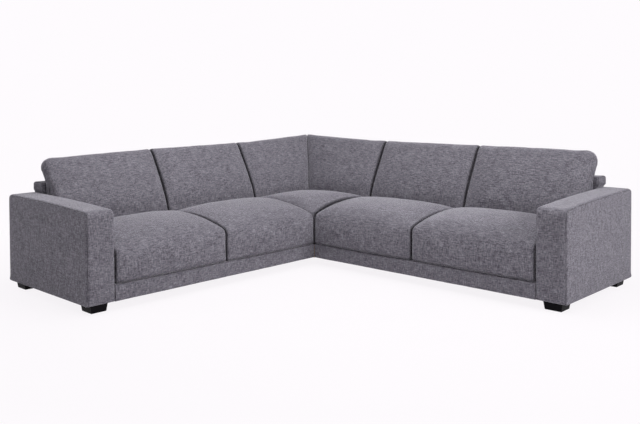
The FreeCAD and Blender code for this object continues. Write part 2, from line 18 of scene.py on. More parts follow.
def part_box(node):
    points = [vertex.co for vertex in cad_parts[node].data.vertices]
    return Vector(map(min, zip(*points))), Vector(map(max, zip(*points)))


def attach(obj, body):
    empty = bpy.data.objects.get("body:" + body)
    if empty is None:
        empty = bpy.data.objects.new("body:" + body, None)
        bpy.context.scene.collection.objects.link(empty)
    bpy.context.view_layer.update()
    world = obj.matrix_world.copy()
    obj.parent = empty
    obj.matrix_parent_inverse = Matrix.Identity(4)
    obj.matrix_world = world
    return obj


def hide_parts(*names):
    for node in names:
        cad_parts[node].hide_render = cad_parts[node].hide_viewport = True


# Camera of the photograph: its place, its angles in degrees, and its lens and centre in the photo's pixels
CAMERA_PLACE = (3.2008, -3.5774, 1.1867)
CAMERA_YAW = 45.589
CAMERA_PITCH = -1.557
CAMERA_ROLL = -0.394
LENS_PIXELS = 757.25
CENTRE_PIXEL = (268.65, 120.60)
PHOTO_SIZE = (640, 424)
SENSOR_MM = 36.0

# Spacing of the points
RING_SPACING = 0.011
LOOP_SPACING = 0.0105
BAND_SPACING = 0.004
CLOTH_SPACING = 0.021
ROUND_POINTS = 7
ARM_TOP_POINTS = 9
PROBE_ANGLES = 721
ROLL_RINGS = 9
PLAIN_RINGS = 4

# How often the corners of an outline are eased
OUTLINE_PASSES = 3
BAND_PASSES = 8

# Rolled edges: how far each reaches from its side, and how much of it is left where a piece rests
CUSHION_ROLL = 0.020
OUTER_ROLL = 0.028
ARM_ROLL = 0.022
BACK_ROLL = 0.014
PLAIN_ROLL = 0.002
LEAST_HOLD = 0.15
FLOOR_FADE = 0.04

# Side panels: the steps in which they close, and their inner line's distance from the ends
PANEL_SHARES = (0.05, 0.12, 0.21, 0.32, 0.46, 0.62, 0.80, 0.95)
PANEL_MARGIN = 0.42

# All cushions: the gaps between them, their crown, how their sides are drawn in, how far from the sides their
# outlines are read, and towards which places inside
CUSHION_GAP = 0.003
MITRE_GAP = 0.0006
CROWN_POWER = 2.4
SIDE_DRAW = 0.004
DRAW_REACH = 0.12
CAD_STRIP = 0.016
SEAT_PROBE_DROP = 0.03
CORNER_PROBE_HEIGHT = 0.30
BACK_PROBE = (0.225, 0.45)

# Where a piece rests on another and its cloth can't swell
REST_BAND = 0.012
ARM_REST_BAND = 0.011
SEAT_CONTACT = 0.29
BACK_CONTACT = 0.03
CORNER_SIDE_TOP = 0.07
REST_FADES = 4

# Seat cushions: the nose over the band, and the heights between which their tops follow SEAT_TOPS
NOSE_LIFT = 0.005
NOSE_REACH = 0.022
SEAT_BEND_START = 0.10
SEAT_BEND_REACH = 0.15

# Back cushions: they lean back from the knee upwards, and the outer ones are rounded and swell over the arm
TOP_CROWN = 0.7
BACK_LEAN = 0.028
BACK_KNEE = 0.45
LEAN_REACH = 0.12
OUTER_TOP_ROUND = 0.062
OUTER_DROP_REACH = 4 * OUTER_TOP_ROUND
OUTER_DROP_POWER = 1.5
OUTER_BULGE = 0.008
OUTER_BULGE_HEIGHT = 0.22
OUTER_BULGE_REACH = 0.20

# The tops of the arms fall to the front, over a slight bow
ARM_FRONT = 0.578
ARM_REAR = {"left_": 0.600, "right_": 0.614}
ARM_BOW = 0.006
ARM_REAR_ROUND = 0.020
ARM_FRONT_ROUND = 0.030
ARM_BULGE = 0.002
UNDER_ARM = 0.001

# Padded backs: the skin behind the frame, and where their ends and tops follow FRAME_ENDS and FRAME_TOPS
REAR_SKIN = 0.012
FRAME_ROUND_BELOW = 0.05
FRAME_END_RISE = 0.012
FRAME_END_REACH = 0.1
FRAME_TOP_BELOW = 0.10
FRAME_TOP_REACH = 0.08

# Bands over the front rails
BAND_THICKNESS = 0.025
BAND_LIP = 0.010

# The wings differ a little in the photograph. Back cushions: how much higher their tops lie at the mitre, at
# the two splits and beside the arm, and how far out the splits lie. Seat cushions: how much higher they lie
# at the corner, at their split and beside the arm. Padded backs: how much higher and longer they are there.
BACK_TOPS = {"left_": (0.020, 0.002, -0.006, -0.026), "right_": (0.022, 0.010, 0.006, 0.003)}
BACK_SPLITS = {"left_": (0.0, 0.0), "right_": (0.028, 0.012)}
SEAT_TOPS = {"left_": (0.0, -0.008, -0.024), "right_": (0.0, 0.0, -0.004), "corner_": (0.010, 0.010, 0.010)}
FRAME_TOPS = {"left_": 0.002, "right_": 0.020}
FRAME_ENDS = {"left_": 0.008, "right_": 0.018}

# Seams lie on the rolled edges, as a groove between soft shoulders, with rings close together beside them
SEAM_TURN = math.radians(40)
SEAM_DEPTH = 0.0020
SEAM_HALF_WIDTH = 0.0013
SEAM_SHOULDER = 0.0009
SHOULDER_PLACE = 2.4
SEAM_REACH = 0.012
SEAM_STEPS = np.array([0.0012, 0.0022, 0.0032, 0.0045])

# Puckers beside the seams, soft waves away from them, and the reach of the painted shade that darkens the
# grooves between cushions
PUCKER = 0.0009
PUCKER_REACH = 0.030
PUCKER_SPACING = 0.034
WAVE = 0.0012
WAVE_SPACING = 0.11
WAVE_START = 0.06
SEED_SHIFT = (3.17, 1.73, 0.91)
PAINTED_SHADE_REACH = 0.011

# Cloth: a cushion starts with less than its full crown and is blown up, with a soft cap on its moves
START_CROWN = 0.8
CLOTH_CAP = 0.014
CLOTH_FRAMES = 20
SPREAD_PASSES = 3
CLOTH_SETTINGS = {
    "quality": 5,
    "mass": 0.25,
    "tension_stiffness": 12,
    "compression_stiffness": 12,
    "shear_stiffness": 4,
    "bending_stiffness": 0.4,
    "use_pressure": True,
    "uniform_pressure_force": 4,
    "vertex_group_mass": "pinned",
    "shrink_min": -0.015,
}

# Colours are linear, and of each pair the first is the darker one
CLOTH_DARK = (0.070, 0.065, 0.080)
CLOTH_MIDDLE = (0.150, 0.141, 0.166)
CLOTH_LIGHT = (0.270, 0.258, 0.292)
SHEEN_TINT = (0.88, 0.85, 0.94, 1)
DECK_COLOURS = ((0.030, 0.029, 0.033), (0.060, 0.058, 0.064))
DUST_COLOURS = ((0.008, 0.008, 0.008), (0.020, 0.020, 0.020))
WEBBING_COLOURS = ((0.012, 0.012, 0.012), (0.045, 0.042, 0.040))
TIMBER_COLOURS = ((0.30, 0.17, 0.08), (0.55, 0.36, 0.19))
FOOT_COLOURS = ((0.0020, 0.0016, 0.0026), (0.006, 0.005, 0.007))
STEEL_COLOURS = ((0.42, 0.42, 0.43), (0.62, 0.62, 0.63))
FOAM_COLOURS = ((0.62, 0.55, 0.38), (0.78, 0.72, 0.55))
FLOOR_COLOURS = ((0.80, 0.78, 0.80), (0.82, 0.80, 0.82))
BACKDROP = (0.991, 0.965, 0.991, 1)

# Where a pattern takes the two colours of a pair
GRAIN_ENDS = (0.3, 0.7)
WEAVE_ENDS = (0.35, 0.65)

# Chenille: thickness and length of its yarns and threads, how much each pattern counts in the tone, how much
# seams darken it, how much painted shade darkens the grooves, where a seam's needle line starts, and the
# length and depth of its stitches
YARN = (0.0050, 0.034)
THREAD = (0.0020, 0.013)
YARN_TONE = 1.15
THREAD_TONE = 0.9
BLOTCH_TONE = 0.4
TONE_ENDS = (0.05, 0.5, 0.95)
SEAM_SHADE = 0.6
PAINTED_GROOVE_SHADE = 0.85
NEEDLE_START = 0.80
NEEDLE_RISE = 8.0
STITCH = 0.006
STITCH_DIMPLE = 0.15

# Studio: half the floor's width, the distances between which the floor fades into the backdrop, and how much
# of the backdrop it shows there
FLOOR_SIZE = 30.0
FLOOR_DISTANCES = (1.6, 3.4)
FLOOR_SHARES = (0.90, 1.0)
WORLD_STRENGTH = 0.30

# Nothing is divided by less than this
TINY = 1e-12

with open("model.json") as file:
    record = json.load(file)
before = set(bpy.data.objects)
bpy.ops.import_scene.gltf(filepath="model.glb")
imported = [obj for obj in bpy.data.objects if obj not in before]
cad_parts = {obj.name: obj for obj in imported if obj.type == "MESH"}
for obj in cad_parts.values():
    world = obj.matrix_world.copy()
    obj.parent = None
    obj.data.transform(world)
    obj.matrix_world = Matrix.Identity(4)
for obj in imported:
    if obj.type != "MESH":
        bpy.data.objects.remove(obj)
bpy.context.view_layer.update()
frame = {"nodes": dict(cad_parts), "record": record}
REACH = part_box("right_arm_upholstery")[1].x
ARM_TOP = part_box("right_arm_upholstery")[1].z
BACK_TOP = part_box("right_back_upholstery")[1].z
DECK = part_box("right_deck_pad")[1].z
INNER_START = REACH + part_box("right_inner_seat_cushion_cover")[0].x
OUTER_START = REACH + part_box("right_outer_seat_cushion_cover")[0].x
ARM_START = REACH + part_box("right_arm_upholstery")[0].x


# Outlines

def smoothed(loop, passes):
    """Ease the corners of a closed outline, whose points are spaced evenly."""
    for _ in range(passes):
        loop = 0.5 * loop + 0.25 * (np.roll(loop, 1, axis=0) + np.roll(loop, -1, axis=0))
    return loop


def outward(loop):
    """The outward direction at each point of a closed outline."""
    tangent = np.roll(loop, -1, axis=0) - np.roll(loop, 1, axis=0)
    normal = np.stack([tangent[:, 1], -tangent[:, 0]], axis=1)
    normal /= np.maximum(np.linalg.norm(normal, axis=1, keepdims=True), TINY)
    if ((loop - loop.mean(axis=0)) * normal).sum() < 0:
        normal = -normal
    return normal


def walked_along(points):
    """How far each point lies from the first one, measured along the line through them."""
    return np.concatenate([[0], np.cumsum(np.linalg.norm(np.diff(points, axis=0), axis=1))])


def box_outline(corners, spacing=LOOP_SPACING, passes=OUTLINE_PASSES):
    """A closed outline through straight runs, with eased corners and evenly spaced points."""
    closed = np.array(corners + corners[:1], float)
    walked = walked_along(closed)
    wanted = np.linspace(0, walked[-1], round(walked[-1] / spacing), endpoint=False)
    return smoothed(np.stack([np.interp(wanted, walked, closed[:, axis]) for axis in (0, 1)], axis=1), passes)


def arm_outline(depth, floor, rear):
    """The side view of an arm: its top falls to the front, between rounded corners."""
    behind, ahead = ARM_REAR_ROUND, ARM_FRONT_ROUND
    turns = np.linspace(0, math.pi / 2, ROUND_POINTS)
    corners = [(0, floor)]
    corners += [(behind - behind * math.cos(turn), rear - behind + behind * math.sin(turn)) for turn in turns]
    for share in np.linspace(0, 1, ARM_TOP_POINTS)[1:-1]:
        bow = 4 * ARM_BOW * share * (1 - share)
        corners.append((behind + share * (depth - behind - ahead), rear + share * (ARM_FRONT - rear) + bow))
    corners += [(depth - ahead + ahead * math.sin(turn), ARM_FRONT - ahead + ahead * math.cos(turn))
                for turn in turns]
    return box_outline(corners + [(depth, floor)])


def back_outline(thick, floor):
    """A padded back from the side: thick above the deck, and a skin behind the frame below it."""
    return box_outline([(0, floor), (0, BACK_TOP), (thick, BACK_TOP), (thick, DECK), (REAR_SKIN, DECK),
                        (REAR_SKIN, floor)])


def band_outline(back, front, floor):
    """A front band from the side: a thin padded strip with a lip over the rail."""
    rear = front - BAND_THICKNESS
    corners = [(rear, floor), (front, floor), (front, DECK), (back, DECK), (back, DECK - BAND_LIP),
               (rear, DECK - BAND_LIP)]
    return box_outline(corners, BAND_SPACING, BAND_PASSES)


def inner_line(loop):
    """The line inside an outline that its side panel closes onto."""
    low, high = loop.min(axis=0), loop.max(axis=0)
    size = high - low
    longer = int(size[1] > size[0])
    shorter = 1 - longer
    margin = PANEL_MARGIN * size[shorter]
    line = loop.copy()
    line[:, longer] = np.clip(loop[:, longer], low[longer] + margin, high[longer] - margin)
    for point in line:
        level = loop[np.abs(loop[:, longer] - point[longer]) < 2 * LOOP_SPACING, shorter]
        point[shorter] = (level.max() + level.min()) / 2
    return line


def crown_at(share):
    """How full a cushion is this far across, from 0 at its seams to 1 in the middle."""
    return 1 - abs(2 * share - 1) ** CROWN_POWER


def smooth_step(value):
    """A soft rise from 0 to 1 while value goes from 0 to 1."""
    value = np.clip(value, 0, 1)
    return value * value * (3 - 2 * value)


# Rolled edges and their seams

def edge_turns(roll, seam):
    """Turns over a rolled edge, from 0 at the side to a quarter at the panel, close together at the seam."""
    turns = list(np.linspace(0, math.pi / 2, ROLL_RINGS if roll > PLAIN_ROLL else PLAIN_RINGS))
    if seam:
        close = SEAM_TURN + np.concatenate([-SEAM_STEPS[::-1], [0], SEAM_STEPS]) / roll
        turns = [turn for turn in turns if not close[0] < turn < close[-1]] + list(close)
    return np.array(sorted(turns))


def walked_over(distance, roll):
    """How far a place lies from the side's edge, measured over the surface."""
    turn = np.arccos(1 - np.minimum(distance / roll, 1))
    return roll * turn + np.maximum(distance - roll, 0)


def roll_inset(distance, roll):
    """How far a rolled edge draws the outline in, at a distance from the side."""
    share = min(max(1 - distance / roll, 0), 1)
    return roll * (1 - math.sqrt(1 - share ** 2))


def seam_lift(away):
    """The groove of a seam and the soft shoulders beside it, at a distance away from it."""
    groove = np.exp(-(away / SEAM_HALF_WIDTH) ** 2)
    shoulder = np.exp(-((np.abs(away) - SHOULDER_PLACE * SEAM_HALF_WIDTH) / SEAM_HALF_WIDTH) ** 2)
    return SEAM_SHOULDER * shoulder - SEAM_DEPTH * groove


# Padded pieces

class Padding:
    """A padded piece of the right wing, over two measures: the distance across it from its first side, and
    the point round its outline. Its outlines beside both sides and in the middle are near, middle and far."""

    gap = 0.0
    draw = 0.0
    bulge = 0.0
    cushion = False

    def __init__(self, node, rolls, centre=None, first=None, lower=0.0):
        low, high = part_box(node)
        self.node = node
        self.rolls = rolls
        self.centre = centre
        self.first = low.x + REACH + self.gap if first is None else first
        self.last = high.x + REACH - self.gap
        self.width = self.last - self.first
        self.seams = [PLAIN_ROLL < roll < OUTER_ROLL for roll in rolls]
        self.floor = low.z - lower
        self.deep = (REACH - high.y, REACH - low.y)

    def use(self, outline):
        """Take one outline from side to side."""
        self.near = self.middle = self.far = outline

    def outline(self, distance, crown=1.0):
        """The outline at a distance across, without its rolled edges."""
        share = (distance - self.rolls[0]) / (self.width - sum(self.rolls))
        share = min(max(share, 0), 1)
        swell = self.middle - (self.near + self.far) / 2
        return self.near + share * (self.far - self.near) + crown * crown_at(share) * swell

    def hold(self, outline):
        """How much of a rolled edge the outline takes: little where the piece rests on its floor."""
        rise = smooth_step((outline[:, 1] - self.floor) / FLOOR_FADE)
        return LEAST_HOLD + (1 - LEAST_HOLD) * rise

    def inset(self, outline, amount):
        """The outline, drawn in by a rolled edge."""
        return outline - (amount * self.hold(outline))[:, None] * outward(outline)

    def placed(self, outline, distance):
        """Points in space for an outline at a distance across, with its sides pulled in."""
        deep, high = outline[:, 0], outline[:, 1]
        reach = max(0.0, 1 - min(distance, self.width - distance) / DRAW_REACH)
        across = (2 * deep - sum(self.deep)) / (self.deep[1] - self.deep[0])
        draw = self.draw * reach * np.clip(1 - across ** 2, 0, 1)
        along = self.first + distance + (draw if distance < self.width / 2 else -draw)
        return np.stack([along, deep, high], axis=1)

    def reshaped(self, places, side):
        """The piece as the photograph shows it on one side of the sofa."""
        return places

    def ring(self, distance, crown):
        """The finished ring at a distance across."""
        amount = roll_inset(distance, self.rolls[0]) + roll_inset(self.width - distance, self.rolls[1])
        return self.placed(self.inset(self.outline(distance, crown), amount), distance)

    def side_rings(self, distance, crown):
        """Rings that close a side, from its edge inwards."""
        roll = self.rolls[0] if distance == 0 else self.rolls[1]
        outline = self.inset(self.outline(distance, crown), roll)
        line = inner_line(outline)
        rings = []
        for share in PANEL_SHARES:
            ring = self.placed(outline + share * (line - outline), distance)
            if distance > 0:
                ring[:, 0] += self.bulge * (1 - (1 - share) ** 3)
            rings.append(ring)
        return rings

    def surface(self, distances, crown=1.0):
        """All rings from side to side, and how many of them close the first side."""
        near = self.side_rings(0.0, crown)[::-1]
        far = self.side_rings(self.width, crown)
        rings = near + [self.ring(distance, crown) for distance in distances] + far
        return np.array(rings), len(near)

    def stations(self):
        """Distances across the piece at which its rings lie."""
        near, far = (roll * (1 - np.cos(edge_turns(roll, seam)))
                     for roll, seam in zip(self.rolls, self.seams))
        count = max(3, round((self.width - sum(self.rolls)) / RING_SPACING))
        middle = np.linspace(self.rolls[0], self.width - self.rolls[1], count + 1)[1:-1]
        return np.concatenate([near, middle, self.width - far[::-1]])

    def away_from_seam(self, distances):
        """How far each ring lies from the nearest seam, over the surface; negative on the side panels."""
        away = np.full(len(distances), 1.0)
        for roll, seam, side in zip(self.rolls, self.seams, (distances, self.width - distances)):
            if seam:
                walked = walked_over(side, roll) - roll * SEAM_TURN
                away = np.where(np.abs(walked) < np.abs(away), walked, away)
        return away

    def groove(self, rings, distances):
        """1 where the cloth of a cushion lies deep beside another or on the band, and 0 in the open, as
        beside a second side without a seam: the mask of the painted shade that darkens its colour there."""
        if not self.cushion:
            return np.zeros(rings.shape[:2])
        near, far = (walked_over(side, roll)
                     for side, roll in zip((distances, self.width - distances), self.rolls))
        open_side = 0.0 if self.seams[1] else 1.0
        before = (len(rings) - len(distances)) // 2
        walked = np.zeros(rings.shape[:2])
        walked[before:before + len(distances)] = np.minimum(near, far + open_side)[:, None]
        for ring in range(before):
            walked[ring] = np.linalg.norm(rings[ring] - rings[before], axis=1)
            walked[-1 - ring] = np.linalg.norm(rings[-1 - ring] - rings[-1 - before], axis=1) + open_side
        # painted shade also darkens the cloth just above where the cushion rests on its floor
        walked = np.minimum(walked, rings[:, :, 2] - self.floor)
        return np.exp(-(walked / PAINTED_SHADE_REACH) ** 2)


class Cushion(Padding):
    """A loose cushion, whose outlines are read from the CAD solid by rays towards its centre."""

    gap = CUSHION_GAP
    draw = SIDE_DRAW
    cushion = True

    def probe(self, along, angle):
        """Where a ray towards the centre meets the CAD solid or its floor, as (deep, high)."""
        deep, high = math.cos(angle), math.sin(angle)
        if high < 0:
            under = self.centre[0] + deep * (self.floor - self.centre[1]) / high
            if self.deep[0] < under < self.deep[1]:
                return (under, self.floor)
        start = Vector((along - REACH, REACH - self.centre[0] - deep, self.centre[1] + high))
        hit = self.tree.ray_cast(start, Vector((0, deep, -high)))[0]
        return (REACH - hit.y, hit.z)

    def even_angles(self, along):
        """Angles, from straight below, at which the outline's points come out evenly spaced."""
        angles = np.linspace(-math.pi / 2, 1.5 * math.pi, PROBE_ANGLES)
        walked = walked_along(np.array([self.probe(along, angle) for angle in angles]))
        count = 2 * round(walked[-1] / LOOP_SPACING / 2)
        return np.interp(np.linspace(0, walked[-1], count, endpoint=False), walked, angles)

    def read_sections(self, *places):
        """Take the outlines near, middle and far from the CAD solid at these places along the wing."""
        mesh = frame["nodes"][self.node].data
        self.tree = BVHTree.FromPolygons([vertex.co[:] for vertex in mesh.vertices],
                                         [tuple(polygon.vertices) for polygon in mesh.polygons])
        angles = self.even_angles(places[1])
        self.near, self.middle, self.far = (
            smoothed(np.array([self.probe(along, angle) for angle in angles]), OUTLINE_PASSES)
            for along in places)


class Seat(Cushion):
    """A seat cushion, whose nose rolls up from the band below it."""

    def outline(self, distance, crown=1.0):
        outline = super().outline(distance, crown)
        nose = smooth_step(1 - (self.deep[1] - outline[:, 0]) / NOSE_REACH)
        nose *= smooth_step(1 - (outline[:, 1] - self.floor) / NOSE_REACH)
        outline[:, 1] += NOSE_LIFT * nose
        return outline

    def reshaped(self, places, side):
        along, high = places[:, :, 0], places[:, :, 2]
        lift = np.interp(along, (INNER_START, OUTER_START, ARM_START), SEAT_TOPS[side])
        places[:, :, 2] += lift * smooth_step((high - self.floor - SEAT_BEND_START) / SEAT_BEND_REACH)
        return places


class Back(Cushion):
    """A back cushion, which leans on the padded back and over it."""

    def above_back(self, high):
        """A soft rise from 0 at the top of the padded back to 1 at the top of the cushion."""
        return smooth_step((high - BACK_TOP) / (self.middle[:, 1].max() - BACK_TOP))

    def read_sections(self, *places):
        """Their tops are nearly straight."""
        super().read_sections(*places)
        crown = self.middle[:, 1] - (self.near[:, 1] + self.far[:, 1]) / 2
        self.middle[:, 1] -= (1 - TOP_CROWN) * self.above_back(self.middle[:, 1]) * crown

    def outline(self, distance, crown=1.0):
        outline = super().outline(distance, crown)
        deep, high = outline[:, 0], outline[:, 1]
        front = smooth_step((deep - self.deep[0]) / LEAN_REACH)
        start = BACK_TOP + front * (BACK_KNEE - BACK_TOP)
        outline[:, 0] -= BACK_LEAN * smooth_step((high - start) / (high.max() - start))
        return outline

    def reshaped(self, places, side):
        along, high = places[:, :, 0].copy(), places[:, :, 2]
        stations = (self.deep[1], INNER_START, OUTER_START, ARM_START)
        rise = self.above_back(high)
        places[:, :, 0] += np.interp(along, stations, (0, *BACK_SPLITS[side], 0))
        places[:, :, 2] += rise * np.interp(along, stations, BACK_TOPS[side])
        return places


class OuterBack(Back):
    """The back cushion beside an arm, with a wide round for its top corner."""

    def outline(self, distance, crown=1.0):
        outline = super().outline(distance, crown)
        side = self.width - distance
        if side > OUTER_TOP_ROUND:
            return outline
        drop = OUTER_TOP_ROUND - math.sqrt(OUTER_TOP_ROUND ** 2 - (OUTER_TOP_ROUND - side) ** 2)
        top = outline[:, 1].max()
        share = np.clip((outline[:, 1] - top) / OUTER_DROP_REACH + 1, 0, 1)
        outline[:, 1] -= drop * share ** OUTER_DROP_POWER
        return outline

    def placed(self, outline, distance):
        """Above the arm the cushion swells out over it."""
        ring = super().placed(outline, distance)
        above = np.clip((ring[:, 2] - ARM_TOP) / OUTER_BULGE_HEIGHT, 0, 1)
        reach = smooth_step(1 - (self.width - distance) / OUTER_BULGE_REACH)
        ring[:, 0] += OUTER_BULGE * above * reach
        return ring


class MitredBack(Back):
    """The back cushion in the corner, whose first side follows the diagonal."""

    def placed(self, outline, distance):
        ring = super().placed(outline, distance)
        share = distance / self.width
        pull = ring[:, 0] - self.first - distance if share > 0.5 else 0
        start = outline[:, 0] + MITRE_GAP
        ring[:, 0] = start + (self.last - start) * share + pull
        return ring


class Arm(Padding):
    """The upholstery of an arm, whose outer side panel swells a little."""

    bulge = ARM_BULGE


class FrameBack(Padding):
    """The padded back of a wing, whose rear skin goes down to the floor of the frame."""

    def hold(self, outline):
        """Its end is rounded only above the arm."""
        return smooth_step((outline[:, 1] - ARM_TOP + FRAME_ROUND_BELOW) / FLOOR_FADE)

    def reshaped(self, places, side):
        along, high = places[:, :, 0].copy(), places[:, :, 2].copy()
        over_arm = smooth_step((high - ARM_TOP - FRAME_END_RISE) / FRAME_END_RISE)
        over_arm *= smooth_step(1 - (self.last - along) / FRAME_END_REACH)
        places[:, :, 0] += FRAME_ENDS[side] * over_arm
        upper = smooth_step((high - BACK_TOP + FRAME_TOP_BELOW) / FRAME_TOP_REACH)
        places[:, :, 2] += FRAME_TOPS[side] * upper * np.clip((along - self.first) / self.width, 0, 1)
        return places


class Band(Padding):
    """The band over the front rail, whose ends are flat."""

    def side_rings(self, distance, crown):
        return []


# Meshes

def mesh_object(name, places, mirror=False, measures=None):
    """An object from rings of (along, deep, high), on the right wing or mirrored to the left."""
    rings, points = places.shape[:2]
    along, deep, high = np.moveaxis(places, 2, 0)
    world = np.stack([along - REACH, REACH - deep, high], axis=2)
    if mirror:
        world = np.stack([-world[:, :, 1], -world[:, :, 0], world[:, :, 2]], axis=2)
    faces = [tuple(range(points - 1, -1, -1)), tuple(range((rings - 1) * points, rings * points))]
    for low in range(0, (rings - 1) * points, points):
        for point in range(points):
            after = (point + 1) % points
            faces.append((low + point, low + after, low + points + after, low + points + point))
    if not mirror:
        faces = [face[::-1] for face in faces]
    mesh = bpy.data.meshes.new(name)
    mesh.from_pydata(world.reshape(-1, 3).tolist(), [], faces)
    mesh.shade_smooth()
    for key, values in (measures or {}).items():
        attribute = mesh.attributes.new(key, "FLOAT", "POINT")
        attribute.data.foreach_set("value", values.astype(np.float32).ravel())
    item = bpy.data.objects.new(name, mesh)
    bpy.context.scene.collection.objects.link(item)
    return item


def surface_normals(places):
    """Outward normals of a stack of rings."""
    across = np.gradient(places, axis=0)
    around = np.roll(places, -1, axis=1) - np.roll(places, 1, axis=1)
    normal = np.cross(around, across)
    normal /= np.maximum(np.linalg.norm(normal, axis=2, keepdims=True), TINY)
    if ((places - places.mean(axis=(0, 1))) * normal).sum() < 0:
        normal = -normal
    return normal


def soft_waves(places, spacing, seed):
    """Smooth random values between about -1 and 1 at each place."""
    shift = Vector([seed * step for step in SEED_SHIFT])
    values = [noise.noise(Vector(place) / spacing + shift) for place in places.reshape(-1, 3)]
    return np.array(values).reshape(places.shape[:2])


# Cloth

def blown_up(name, rings, first, last, free):
    """Blow a coarse cushion up as cloth, and give how far the points of the rings first to last move."""
    item = mesh_object(name, rings)
    pins = item.vertex_groups.new(name="pinned")
    points = rings.shape[1]
    for ring in range(len(rings)):
        inside = first < ring < last - 1
        for point in range(points):
            held = 1 - free[point] if inside else 1.0
            if held > 0:
                pins.add([ring * points + point], held, "REPLACE")
    cloth = item.modifiers.new("cloth", "CLOTH")
    cloth.collision_settings.use_collision = False
    for key, value in CLOTH_SETTINGS.items():
        setattr(cloth.settings, key, value)
    cloth.settings.effector_weights.gravity = 0
    scene = bpy.context.scene
    for step in range(1, CLOTH_FRAMES + 1):
        scene.frame_set(step)
    shaped = item.evaluated_get(bpy.context.evaluated_depsgraph_get()).to_mesh()
    after, before = (np.array([vertex.co[:] for vertex in mesh.vertices]) for mesh in (shaped, item.data))
    moves = (after - before).reshape(rings.shape) * (1, -1, 1)
    bpy.data.meshes.remove(item.data)
    scene.frame_set(1)
    size = np.linalg.norm(moves, axis=2, keepdims=True)
    moves *= CLOTH_CAP * np.tanh(size / CLOTH_CAP) / np.maximum(size, TINY)
    return moves[first:last]


def spread(moves, from_distances, to_distances, points):
    """Moves of a coarse grid read at the places of a finer one, and smoothed."""
    wrapped = np.concatenate([moves, moves[:, :1]], axis=1)
    place = np.arange(wrapped.shape[1]) / moves.shape[1]
    wanted = np.arange(points) / points
    around = np.array([[np.interp(wanted, place, ring[:, axis]) for axis in range(3)] for ring in wrapped])
    fine = np.empty((len(to_distances), points, 3))
    for axis in range(3):
        for point in range(points):
            fine[:, point, axis] = np.interp(to_distances, from_distances, around[:, axis, point])
    for _ in range(SPREAD_PASSES):
        fine[1:-1] = 0.5 * fine[1:-1] + 0.25 * (fine[:-2] + fine[2:])
        fine = smoothed(fine.swapaxes(0, 1), 1).swapaxes(0, 1)
    return fine


def cloth_moves(name, shape, distances, free):
    """How the points of a cushion move when it is blown up, from seam to seam."""
    count = round(shape.width / CLOTH_SPACING)
    margins = [roll * (1 - math.cos(SEAM_TURN)) for roll in shape.rolls]
    coarse_distances = np.linspace(margins[0], shape.width - margins[1], count)
    rings, before = shape.surface(coarse_distances, START_CROWN)
    moves = blown_up(name, rings[:, ::2], before, before + count, free[::2])
    return spread(moves, coarse_distances, distances, len(free)) * free[None, :, None]


def cloth_measures(shape, rings, panel, distances, away):
    """What the cloth's material reads: nearness to a seam, the way walked round a ring, and the mask of
    painted shade in the grooves.
    """
    seam = np.zeros(rings.shape[:2])
    seam[panel] = np.clip(1 - np.abs(away) / SEAM_REACH, 0, 1)
    steps = np.linalg.norm(np.diff(rings, axis=1), axis=2)
    run = np.concatenate([np.zeros((len(rings), 1)), np.cumsum(steps, axis=1)], axis=1)
    # groove: where painted shade darkens the cloth
    return {"seam": seam, "run": run, "groove": shape.groove(rings, distances)}


def padded_piece(name, shape, free, sides, seed):
    """The mesh of a padded piece for each side of the sofa. free is 1 where its cloth may swell and 0
    where it rests on something."""
    distances = shape.stations()
    simulated = shape.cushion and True
    rings, before = shape.surface(distances, START_CROWN if simulated else 1.0)
    panel = slice(before, before + len(distances))
    if simulated:
        rings[panel] += cloth_moves(name, shape, distances, free)
    away = shape.away_from_seam(distances)[:, None]
    measures = cloth_measures(shape, rings, panel, distances, away)
    gather = np.exp(-np.abs(away) / PUCKER_REACH) * smooth_step(np.abs(away) / SEAM_REACH)
    calm = smooth_step(np.abs(away) / WAVE_START)
    items = {}
    for number, side in enumerate(sides):
        places = rings.copy()
        open_panel = places[panel]
        puckers = gather * soft_waves(open_panel, PUCKER_SPACING, seed + number)
        waves = calm * soft_waves(open_panel, WAVE_SPACING, seed - number)
        lift = seam_lift(away) + free * (PUCKER * puckers + WAVE * waves)
        places[panel] += lift[:, :, None] * surface_normals(open_panel)
        places = shape.reshaped(places, side)
        places[:, :, 2] = np.maximum(places[:, :, 2], shape.floor)
        items[side + name] = mesh_object(side + name, places, side == "left_", measures)
    return items


def freedom(resting):
    """1 at outline points where nothing touches a piece, falling softly to 0 where resting is true."""
    free = np.where(resting, 0.0, 1.0)
    for _ in range(REST_FADES):
        free = np.minimum(free, 0.5 * free + 0.25 * (np.roll(free, 1) + np.roll(free, -1)))
    return free


# Cushions

def seat_shape(node, height):
    """A seat cushion, read from the CAD solid round a place in its middle at this height."""
    low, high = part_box(node)
    shape = Seat(node, (CUSHION_ROLL, CUSHION_ROLL), (REACH - (low.y + high.y) / 2, height))
    shape.read_sections(shape.first + CAD_STRIP, (shape.first + shape.last) / 2, shape.last - CAD_STRIP)
    return shape


def seat_cushions():
    """The inner and outer seat cushions, which rest on the deck and against the back cushions."""
    made = {}
    for place, seed in (("inner", 10), ("outer", 20)):
        node = f"right_{place}_seat_cushion_cover"
        low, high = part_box(node)
        shape = seat_shape(node, (low.z + high.z) / 2 - SEAT_PROBE_DROP)
        deep, high = shape.middle[:, 0], shape.middle[:, 1]
        free = freedom((high < low.z + REST_BAND) | (deep < shape.deep[0] + REST_BAND))
        made.update(padded_piece(f"{place}_seat_cushion", shape, free, ("right_", "left_"), seed))
    return made


def corner_seat_cushion():
    """The corner seat cushion, whose sides all lie against its neighbours."""
    node = "corner_seat_cushion_cover"
    shape = seat_shape(node, CORNER_PROBE_HEIGHT)
    free = freedom(shape.middle[:, 1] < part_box(node)[1].z - CORNER_SIDE_TOP)
    return padded_piece("seat_cushion", shape, free, ("corner_",), 60)


